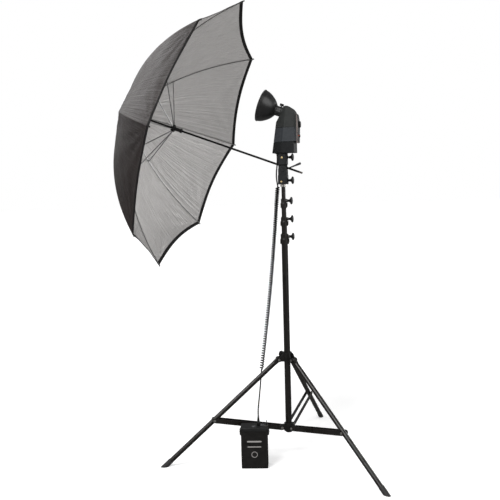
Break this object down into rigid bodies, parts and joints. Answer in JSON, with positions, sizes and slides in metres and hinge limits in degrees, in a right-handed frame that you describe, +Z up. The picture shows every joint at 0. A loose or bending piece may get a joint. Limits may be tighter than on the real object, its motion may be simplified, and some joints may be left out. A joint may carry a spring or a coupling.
{
  "type": "monolight strobe",
  "caption": "Flash head with a bowl reflector on a tilting umbrella bracket, a folding umbrella, a telescopic three-leg stand and a battery pack on a curly cord.",
  "frame": {"origin": "on the floor, under the middle of the whole outfit without its cord", "axes": "+Z up; -X is the side the umbrella points to; +X is the side the clamp knobs point to"},
  "size_m": [1.0074, 1.0786, 1.7993],
  "materials": {
    "stand_tube": "black anodised, satin",
    "stand_casting": "black enamel, satin",
    "knob": "moulded, matt",
    "bright_metal": "plated",
    "bracket": "black enamel on a casting",
    "lever": "grey enamel",
    "umbrella_steel": "black lacquer",
    "umbrella_cloth": "black outside, silver coating inside",
    "head_shell": "textured moulding",
    "control_panel": "satin moulding",
    "control": "moulded",
    "reflector": "satin black outside, brushed inside",
    "lamp_glass": "clear",
    "electronics": "inner part",
    "cord": "satin",
    "pack_shell": "grained moulding",
    "cells": "inner part"
  },
  "bodies": {
    "column": {"column_tube": "stand_tube", "lower_collar": "stand_casting", "cord_upper_lead": "cord", "cord_coil": "cord", "cord_lower_lead": "cord"},
    "leg_collar": {"leg_collar": "stand_casting"},
    "leg_collar_knob": {"leg_collar_knob": "knob"},
    "leg_1": {"leg_1": "stand_tube"},
    "leg_2": {"leg_2": "stand_tube"},
    "leg_3": {"leg_3": "stand_tube"},
    "brace_1": {"brace_1": "stand_tube"},
    "brace_2": {"brace_2": "stand_tube"},
    "brace_3": {"brace_3": "stand_tube"},
    "column_knob": {"column_knob": "knob"},
    "riser_1": {"riser_1": "stand_tube"},
    "riser_1_knob": {"riser_1_knob": "knob"},
    "riser_2": {"riser_2": "stand_tube"},
    "riser_2_knob": {"riser_2_knob": "knob"},
    "riser_3": {"riser_3": "stand_tube", "top_stud": "bright_metal"},
    "bracket_base": {"bracket_base": "bracket"},
    "base_knob": {"base_knob": "knob"},
    "bracket_head": {"bracket_head": "bracket"},
    "head_knob": {"head_knob": "knob"},
    "tilt_lever": {"tilt_lever": "lever"},
    "umbrella": {"umbrella_shaft": "umbrella_steel", "canopy": "umbrella_cloth"},
    "runner": {"runner": "knob"},
    "rib_1": {"rib_1": "umbrella_steel"},
    "rib_2": {"rib_2": "umbrella_steel"},
    "rib_3": {"rib_3": "umbrella_steel"},
    "rib_4": {"rib_4": "umbrella_steel"},
    "rib_5": {"rib_5": "umbrella_steel"},
    "rib_6": {"rib_6": "umbrella_steel"},
    "rib_7": {"rib_7": "umbrella_steel"},
    "rib_8": {"rib_8": "umbrella_steel"},
    "stretcher_1": {"stretcher_1": "umbrella_steel"},
    "stretcher_2": {"stretcher_2": "umbrella_steel"},
    "stretcher_3": {"stretcher_3": "umbrella_steel"},
    "stretcher_4": {"stretcher_4": "umbrella_steel"},
    "stretcher_5": {"stretcher_5": "umbrella_steel"},
    "stretcher_6": {"stretcher_6": "umbrella_steel"},
    "stretcher_7": {"stretcher_7": "umbrella_steel"},
    "stretcher_8": {"stretcher_8": "umbrella_steel"},
    "head": {"head_base": "head_shell", "head_body": "head_shell", "head_hood": "head_shell", "control_panel": "control_panel", "flash_tube": "lamp_glass", "capacitor": "electronics", "circuit_board": "electronics"},
    "dial": {"dial": "control"},
    "test_button": {"test_button": "control"},
    "reflector": {"reflector": "reflector"},
    "reflector_knob": {"reflector_knob": "knob"},
    "pack": {"pack_case": "pack_shell", "pack_lid": "pack_shell", "pack_cells": "cells", "cord_plug": "cord"},
    "pack_switch": {"pack_switch": "control"}
  },
  "joints": [
    {"name": "leg_collar_slide", "type": "slide", "parent": "column", "child": "leg_collar", "axis": [0, 0, 1], "range_m": [0, 0.3458]},
    {"name": "leg_collar_knob_turn", "type": "hinge", "parent": "leg_collar", "child": "leg_collar_knob", "pos_m": [0.15412, -0.06176, 0.412], "axis": [-0.6717, 0.7408, 0], "range_deg": [-180, 540]},
    {"name": "leg_1_hinge", "type": "hinge", "parent": "leg_collar", "child": "leg_1", "pos_m": [0.11894, -0.06937, 0.398], "axis": [0.2113, -0.9774, 0], "range_deg": [0, 49.42]},
    {"name": "brace_1_hinge", "type": "hinge", "parent": "column", "child": "brace_1", "pos_m": [0.1248, -0.0681, 0.121], "axis": [0.2113, -0.9774, 0], "range_deg": [-78.18, 0]},
    {"name": "leg_2_hinge", "type": "hinge", "parent": "leg_collar", "child": "leg_2", "pos_m": [0.17831, -0.08843, 0.398], "axis": [0.7408, 0.6717, 0], "range_deg": [0, 49.42]},
    {"name": "brace_2_hinge", "type": "hinge", "parent": "column", "child": "brace_2", "pos_m": [0.17428, -0.08398, 0.121], "axis": [0.7408, 0.6717, 0], "range_deg": [-78.18, 0]},
    {"name": "leg_3_hinge", "type": "hinge", "parent": "leg_collar", "child": "leg_3", "pos_m": [0.16513, -0.02748, 0.398], "axis": [-0.9521, 0.3057, 0], "range_deg": [0, 49.42]},
    {"name": "brace_3_hinge", "type": "hinge", "parent": "column", "child": "brace_3", "pos_m": [0.16329, -0.03319, 0.121], "axis": [-0.9521, 0.3057, 0], "range_deg": [-78.18, 0]},
    {"name": "column_knob_turn", "type": "hinge", "parent": "column", "child": "column_knob", "pos_m": [0.15412, -0.06176, 0.886], "axis": [0.9828, -0.1848, 0], "range_deg": [-180, 540]},
    {"name": "riser_1_slide", "type": "slide", "parent": "column", "child": "riser_1", "axis": [0, 0, 1], "range_m": [-0.03, 0.6], "deforming": ["cord_coil", "cord_upper_lead"]},
    {"name": "riser_1_knob_turn", "type": "hinge", "parent": "riser_1", "child": "riser_1_knob", "pos_m": [0.15412, -0.06176, 0.955], "axis": [0.9828, -0.1848, 0], "range_deg": [-180, 540]},
    {"name": "riser_2_slide", "type": "slide", "parent": "riser_1", "child": "riser_2", "axis": [0, 0, 1], "range_m": [-0.034, 0.6], "deforming": ["cord_coil", "cord_upper_lead"]},
    {"name": "riser_2_knob_turn", "type": "hinge", "parent": "riser_2", "child": "riser_2_knob", "pos_m": [0.15412, -0.06176, 1.026], "axis": [0.9828, -0.1848, 0], "range_deg": [-180, 540]},
    {"name": "riser_3_slide", "type": "slide", "parent": "riser_2", "child": "riser_3", "axis": [0, 0, 1], "range_m": [-0.045, 0.6], "deforming": ["cord_coil", "cord_upper_lead"]},
    {"name": "bracket_pan", "type": "hinge", "parent": "riser_3", "child": "bracket_base", "pos_m": [0.15412, -0.06176, 1.105], "axis": [0, 0, 1], "range_deg": [-90, 90], "deforming": ["cord_upper_lead"]},
    {"name": "base_knob_turn", "type": "hinge", "parent": "bracket_base", "child": "base_knob", "pos_m": [0.15412, -0.06176, 1.105], "axis": [0.9828, -0.1848, 0], "range_deg": [-180, 540]},
    {"name": "tilt", "type": "hinge", "parent": "bracket_base", "child": "bracket_head", "pos_m": [0.15412, -0.06176, 1.146], "axis": [-0.1848, -0.9828, 0], "range_deg": [-20, 45], "deforming": ["cord_upper_lead"]},
    {"name": "tilt_lever_turn", "type": "hinge", "parent": "bracket_base", "child": "tilt_lever", "pos_m": [0.15801, -0.04112, 1.146], "axis": [-0.1848, -0.9828, 0], "range_deg": [-75, 30]},
    {"name": "head_knob_turn", "type": "hinge", "parent": "bracket_head", "child": "head_knob", "pos_m": [0.15412, -0.06176, 1.194], "axis": [0.9828, -0.1848, 0], "range_deg": [-180, 540]},
    {"name": "head_pan", "type": "hinge", "parent": "bracket_head", "child": "head", "pos_m": [0.15412, -0.06176, 1.2], "axis": [0, 0, 1], "range_deg": [-90, 90], "deforming": ["cord_upper_lead"]},
    {"name": "umbrella_slide", "type": "slide", "parent": "bracket_head", "child": "umbrella", "axis": [-0.9199, 0.173, 0.3518], "range_m": [-0.2, 0.06]},
    {"name": "runner_slide", "type": "slide", "parent": "umbrella", "child": "runner", "axis": [0.9199, -0.173, -0.3518], "range_m": [0, 0.2032], "deforming": ["canopy"]},
    {"name": "rib_1_hinge", "type": "hinge", "parent": "umbrella", "child": "rib_1", "pos_m": [-0.4766, 0.05685, 1.41084], "axis": [0.1848, 0.9828, 0], "range_deg": [0, 31.05]},
    {"name": "stretcher_1_hinge", "type": "hinge", "parent": "runner", "child": "stretcher_1", "pos_m": [-0.2787, 0.01963, 1.33836], "axis": [0.1848, 0.9828, 0], "range_deg": [-26.49, 0]},
    {"name": "rib_2_hinge", "type": "hinge", "parent": "umbrella", "child": "rib_2", "pos_m": [-0.47869, 0.05076, 1.40838], "axis": [0.3752, 0.6489, 0.6619], "range_deg": [0, 31.05]},
    {"name": "stretcher_2_hinge", "type": "hinge", "parent": "runner", "child": "stretcher_2", "pos_m": [-0.28148, 0.01152, 1.33507], "axis": [0.3752, 0.6489, 0.6619], "range_deg": [-26.49, 0]},
    {"name": "rib_3_hinge", "type": "hinge", "parent": "umbrella", "child": "rib_3", "pos_m": [-0.48137, 0.04859, 1.40242], "axis": [0.3458, -0.065, 0.9361], "range_deg": [0, 31.05]},
    {"name": "stretcher_3_hinge", "type": "hinge", "parent": "runner", "child": "stretcher_3", "pos_m": [-0.28506, 0.00862, 1.32713], "axis": [0.3458, -0.065, 0.9361], "range_deg": [-26.49, 0]},
    {"name": "rib_4_hinge", "type": "hinge", "parent": "umbrella", "child": "rib_4", "pos_m": [-0.48309, 0.05159, 1.39646], "axis": [0.1138, -0.7409, 0.6619], "range_deg": [0, 31.05]},
    {"name": "stretcher_4_hinge", "type": "hinge", "parent": "runner", "child": "stretcher_4", "pos_m": [-0.28735, 0.01263, 1.31918], "axis": [0.1138, -0.7409, 0.6619], "range_deg": [-26.49, 0]},
    {"name": "rib_5_hinge", "type": "hinge", "parent": "umbrella", "child": "rib_5", "pos_m": [-0.48282, 0.05802, 1.39399], "axis": [-0.1848, -0.9828, 0], "range_deg": [0, 31.05]},
    {"name": "stretcher_5_hinge", "type": "hinge", "parent": "runner", "child": "stretcher_5", "pos_m": [-0.287, 0.02119, 1.31589], "axis": [-0.1848, -0.9828, 0], "range_deg": [-26.49, 0]},
    {"name": "rib_6_hinge", "type": "hinge", "parent": "umbrella", "child": "rib_6", "pos_m": [-0.48074, 0.0641, 1.39646], "axis": [-0.3752, -0.6489, -0.6619], "range_deg": [0, 31.05]},
    {"name": "stretcher_6_hinge", "type": "hinge", "parent": "runner", "child": "stretcher_6", "pos_m": [-0.28421, 0.0293, 1.31918], "axis": [-0.3752, -0.6489, -0.6619], "range_deg": [-26.49, 0]},
    {"name": "rib_7_hinge", "type": "hinge", "parent": "umbrella", "child": "rib_7", "pos_m": [-0.47805, 0.06628, 1.40242], "axis": [-0.3458, 0.065, -0.9361], "range_deg": [0, 31.05]},
    {"name": "stretcher_7_hinge", "type": "hinge", "parent": "runner", "child": "stretcher_7", "pos_m": [-0.28063, 0.03221, 1.32713], "axis": [-0.3458, 0.065, -0.9361], "range_deg": [-26.49, 0]},
    {"name": "rib_8_hinge", "type": "hinge", "parent": "umbrella", "child": "rib_8", "pos_m": [-0.47634, 0.06327, 1.40838], "axis": [-0.1138, 0.7409, -0.6619], "range_deg": [0, 31.05]},
    {"name": "stretcher_8_hinge", "type": "hinge", "parent": "runner", "child": "stretcher_8", "pos_m": [-0.27834, 0.0282, 1.33507], "axis": [-0.1138, 0.7409, -0.6619], "range_deg": [-26.49, 0]},
    {"name": "reflector_pull", "type": "slide", "parent": "head", "child": "reflector", "axis": [-0.9199, 0.173, 0.3518], "range_m": [0, 0.05]},
    {"name": "reflector_knob_turn", "type": "hinge", "parent": "reflector", "child": "reflector_knob", "pos_m": [0.15499, -0.06192, 1.39378], "axis": [0.3458, -0.065, 0.9361], "range_deg": [-180, 540]},
    {"name": "dial_turn", "type": "hinge", "parent": "head", "child": "dial", "pos_m": [0.22488, -0.07506, 1.318], "axis": [0.9828, -0.1848, 0], "range_deg": [-135, 135]},
    {"name": "test_button_press", "type": "slide", "parent": "head", "child": "test_button", "axis": [-0.9828, 0.1848, 0], "range_m": [0, 0.0015], "stiffness_N_per_m": 300},
    {"name": "pack_lift", "type": "slide", "parent": "column", "child": "pack", "axis": [0, 0, 1], "range_m": [0, 0.12], "deforming": ["cord_lower_lead"]},
    {"name": "pack_switch_toggle", "type": "hinge", "parent": "pack", "child": "pack_switch", "pos_m": [0.06612, -0.16226, 0.152], "axis": [0, 1, 0], "range_deg": [-24, 6]}
  ],
  "couplings": [
    {"joint": "leg_1_hinge", "follows": "leg_collar_slide", "rad_per_m": 2.4933},
    {"joint": "brace_1_hinge", "follows": "leg_collar_slide", "rad_per_m": -3.9448},
    {"joint": "leg_2_hinge", "follows": "leg_collar_slide", "rad_per_m": 2.4933},
    {"joint": "brace_2_hinge", "follows": "leg_collar_slide", "rad_per_m": -3.9448},
    {"joint": "leg_3_hinge", "follows": "leg_collar_slide", "rad_per_m": 2.4933},
    {"joint": "brace_3_hinge", "follows": "leg_collar_slide", "rad_per_m": -3.9448},
    {"joint": "rib_1_hinge", "follows": "runner_slide", "rad_per_m": 2.6627},
    {"joint": "stretcher_1_hinge", "follows": "runner_slide", "rad_per_m": -2.2706},
    {"joint": "rib_2_hinge", "follows": "runner_slide", "rad_per_m": 2.6627},
    {"joint": "stretcher_2_hinge", "follows": "runner_slide", "rad_per_m": -2.2706},
    {"joint": "rib_3_hinge", "follows": "runner_slide", "rad_per_m": 2.6627},
    {"joint": "stretcher_3_hinge", "follows": "runner_slide", "rad_per_m": -2.2706},
    {"joint": "rib_4_hinge", "follows": "runner_slide", "rad_per_m": 2.6627},
    {"joint": "stretcher_4_hinge", "follows": "runner_slide", "rad_per_m": -2.2706},
    {"joint": "rib_5_hinge", "follows": "runner_slide", "rad_per_m": 2.6627},
    {"joint": "stretcher_5_hinge", "follows": "runner_slide", "rad_per_m": -2.2706},
    {"joint": "rib_6_hinge", "follows": "runner_slide", "rad_per_m": 2.6627},
    {"joint": "stretcher_6_hinge", "follows": "runner_slide", "rad_per_m": -2.2706},
    {"joint": "rib_7_hinge", "follows": "runner_slide", "rad_per_m": 2.6627},
    {"joint": "stretcher_7_hinge", "follows": "runner_slide", "rad_per_m": -2.2706},
    {"joint": "rib_8_hinge", "follows": "runner_slide", "rad_per_m": 2.6627},
    {"joint": "stretcher_8_hinge", "follows": "runner_slide", "rad_per_m": -2.2706}
  ]
}
